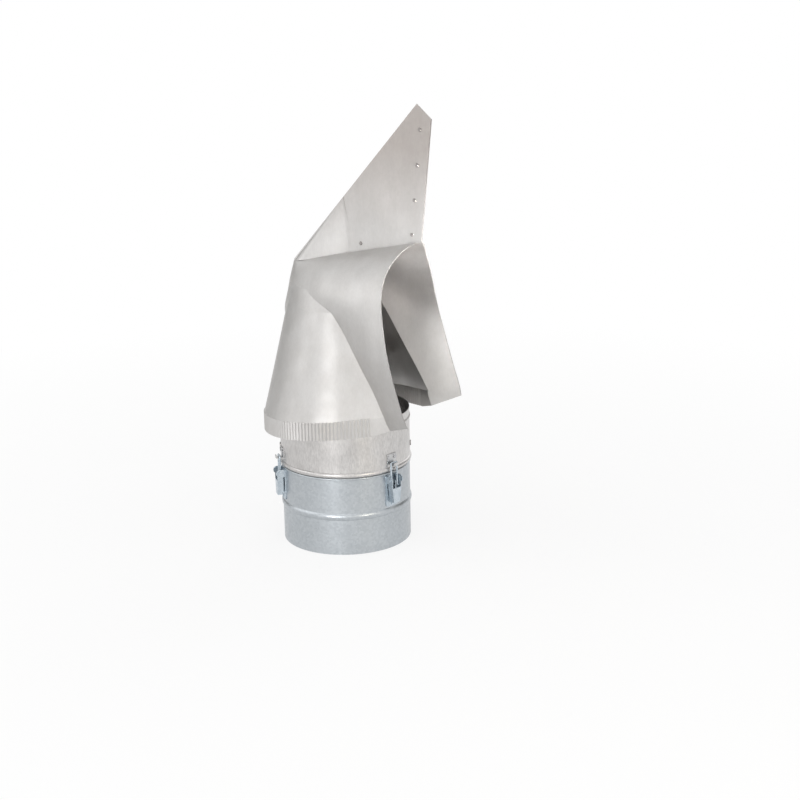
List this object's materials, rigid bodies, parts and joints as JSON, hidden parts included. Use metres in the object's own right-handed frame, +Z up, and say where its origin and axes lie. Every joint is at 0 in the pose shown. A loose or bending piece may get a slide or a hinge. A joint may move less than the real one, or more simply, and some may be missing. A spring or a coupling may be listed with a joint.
{
  "type": "rotating chimney cowl",
  "caption": "Wind-turned chimney cowl: a folded sheet hood with a tall vane and an open lee side on an axle in a short clip-on pipe over a round spigot.",
  "frame": {"origin": "centre of the spigot pipe's bottom rim, on the axle's axis", "axes": "+Z up along the axle and the pipes, +X towards the hood's open lee side at rest"},
  "size_m": [0.2111, 0.1842, 0.5055],
  "materials": {
    "aluminium_sheet": "mill finish sheet, soft brushed grain, light handling marks",
    "galvanised_sheet": "galvanised, fine spangle, bluish grey",
    "zinc_plated": "bright zinc plating",
    "aluminium_rivet": "plain rivet heads",
    "steel_parts": "plain steel",
    "bearing_steel": "polished ball",
    "bronze": "plain bronze bush"
  },
  "bodies": {
    "pipes": {"spigot_pipe": "galvanised_sheet", "neck_pipe": "aluminium_sheet", "lower_cross_bar": "steel_parts", "upper_cross_bar": "steel_parts", "bar_rivets": "aluminium_rivet", "axle": "steel_parts", "axle_nuts": "zinc_plated", "axle_washers": "zinc_plated", "thrust_ball": "bearing_steel", "base_rivets": "zinc_plated", "keeper_rivets": "zinc_plated", "latch_pivots": "zinc_plated", "right_latch_base": "zinc_plated", "left_latch_base": "zinc_plated", "rear_latch_base": "zinc_plated", "right_keeper": "zinc_plated", "left_keeper": "zinc_plated", "rear_keeper": "zinc_plated"},
    "hood": {"hood_sheet": "aluminium_sheet", "fin_rivets": "aluminium_rivet", "lower_hood_bracket": "steel_parts", "upper_hood_bracket": "steel_parts", "hub_tube": "steel_parts", "lower_bush": "bronze", "upper_bush": "bronze", "pivot_cap": "steel_parts"},
    "right_lever": {"right_latch_lever": "zinc_plated"},
    "right_bail": {"right_latch_bail": "zinc_plated"},
    "left_lever": {"left_latch_lever": "zinc_plated"},
    "left_bail": {"left_latch_bail": "zinc_plated"},
    "rear_lever": {"rear_latch_lever": "zinc_plated"},
    "rear_bail": {"rear_latch_bail": "zinc_plated"}
  },
  "joints": [
    {"name": "hood_spin", "type": "hinge", "parent": "pipes", "child": "hood", "pos_m": [0, 0, 0.2], "axis": [0, 0, 1], "continuous": true},
    {"name": "right_lever_swing", "type": "hinge", "parent": "pipes", "child": "right_lever", "pos_m": [0.07704, -0.02503, 0.084], "axis": [-0.309, -0.9511, 0], "range_deg": [0, 90]},
    {"name": "right_bail_swing", "type": "hinge", "parent": "right_lever", "child": "right_bail", "pos_m": [0.07561, -0.02457, 0.076], "axis": [-0.309, -0.9511, 0], "range_deg": [-70, 0]},
    {"name": "left_lever_swing", "type": "hinge", "parent": "pipes", "child": "left_lever", "pos_m": [-0.06019, -0.0542, 0.084], "axis": [-0.6691, 0.7431, 0], "range_deg": [0, 90]},
    {"name": "left_bail_swing", "type": "hinge", "parent": "left_lever", "child": "left_bail", "pos_m": [-0.05908, -0.0532, 0.076], "axis": [-0.6691, 0.7431, 0], "range_deg": [-70, 0]},
    {"name": "rear_lever_swing", "type": "hinge", "parent": "pipes", "child": "rear_lever", "pos_m": [-0.01684, 0.07923, 0.084], "axis": [0.9781, 0.2079, 0], "range_deg": [0, 90]},
    {"name": "rear_bail_swing", "type": "hinge", "parent": "rear_lever", "child": "rear_bail", "pos_m": [-0.01653, 0.07776, 0.076], "axis": [0.9781, 0.2079, 0], "range_deg": [-70, 0]}
  ],
  "couplings": [
    {"joint": "right_bail_swing", "follows": "right_lever_swing", "ratio": -0.77},
    {"joint": "left_bail_swing", "follows": "left_lever_swing", "ratio": -0.77},
    {"joint": "rear_bail_swing", "follows": "rear_lever_swing", "ratio": -0.77}
  ]
}
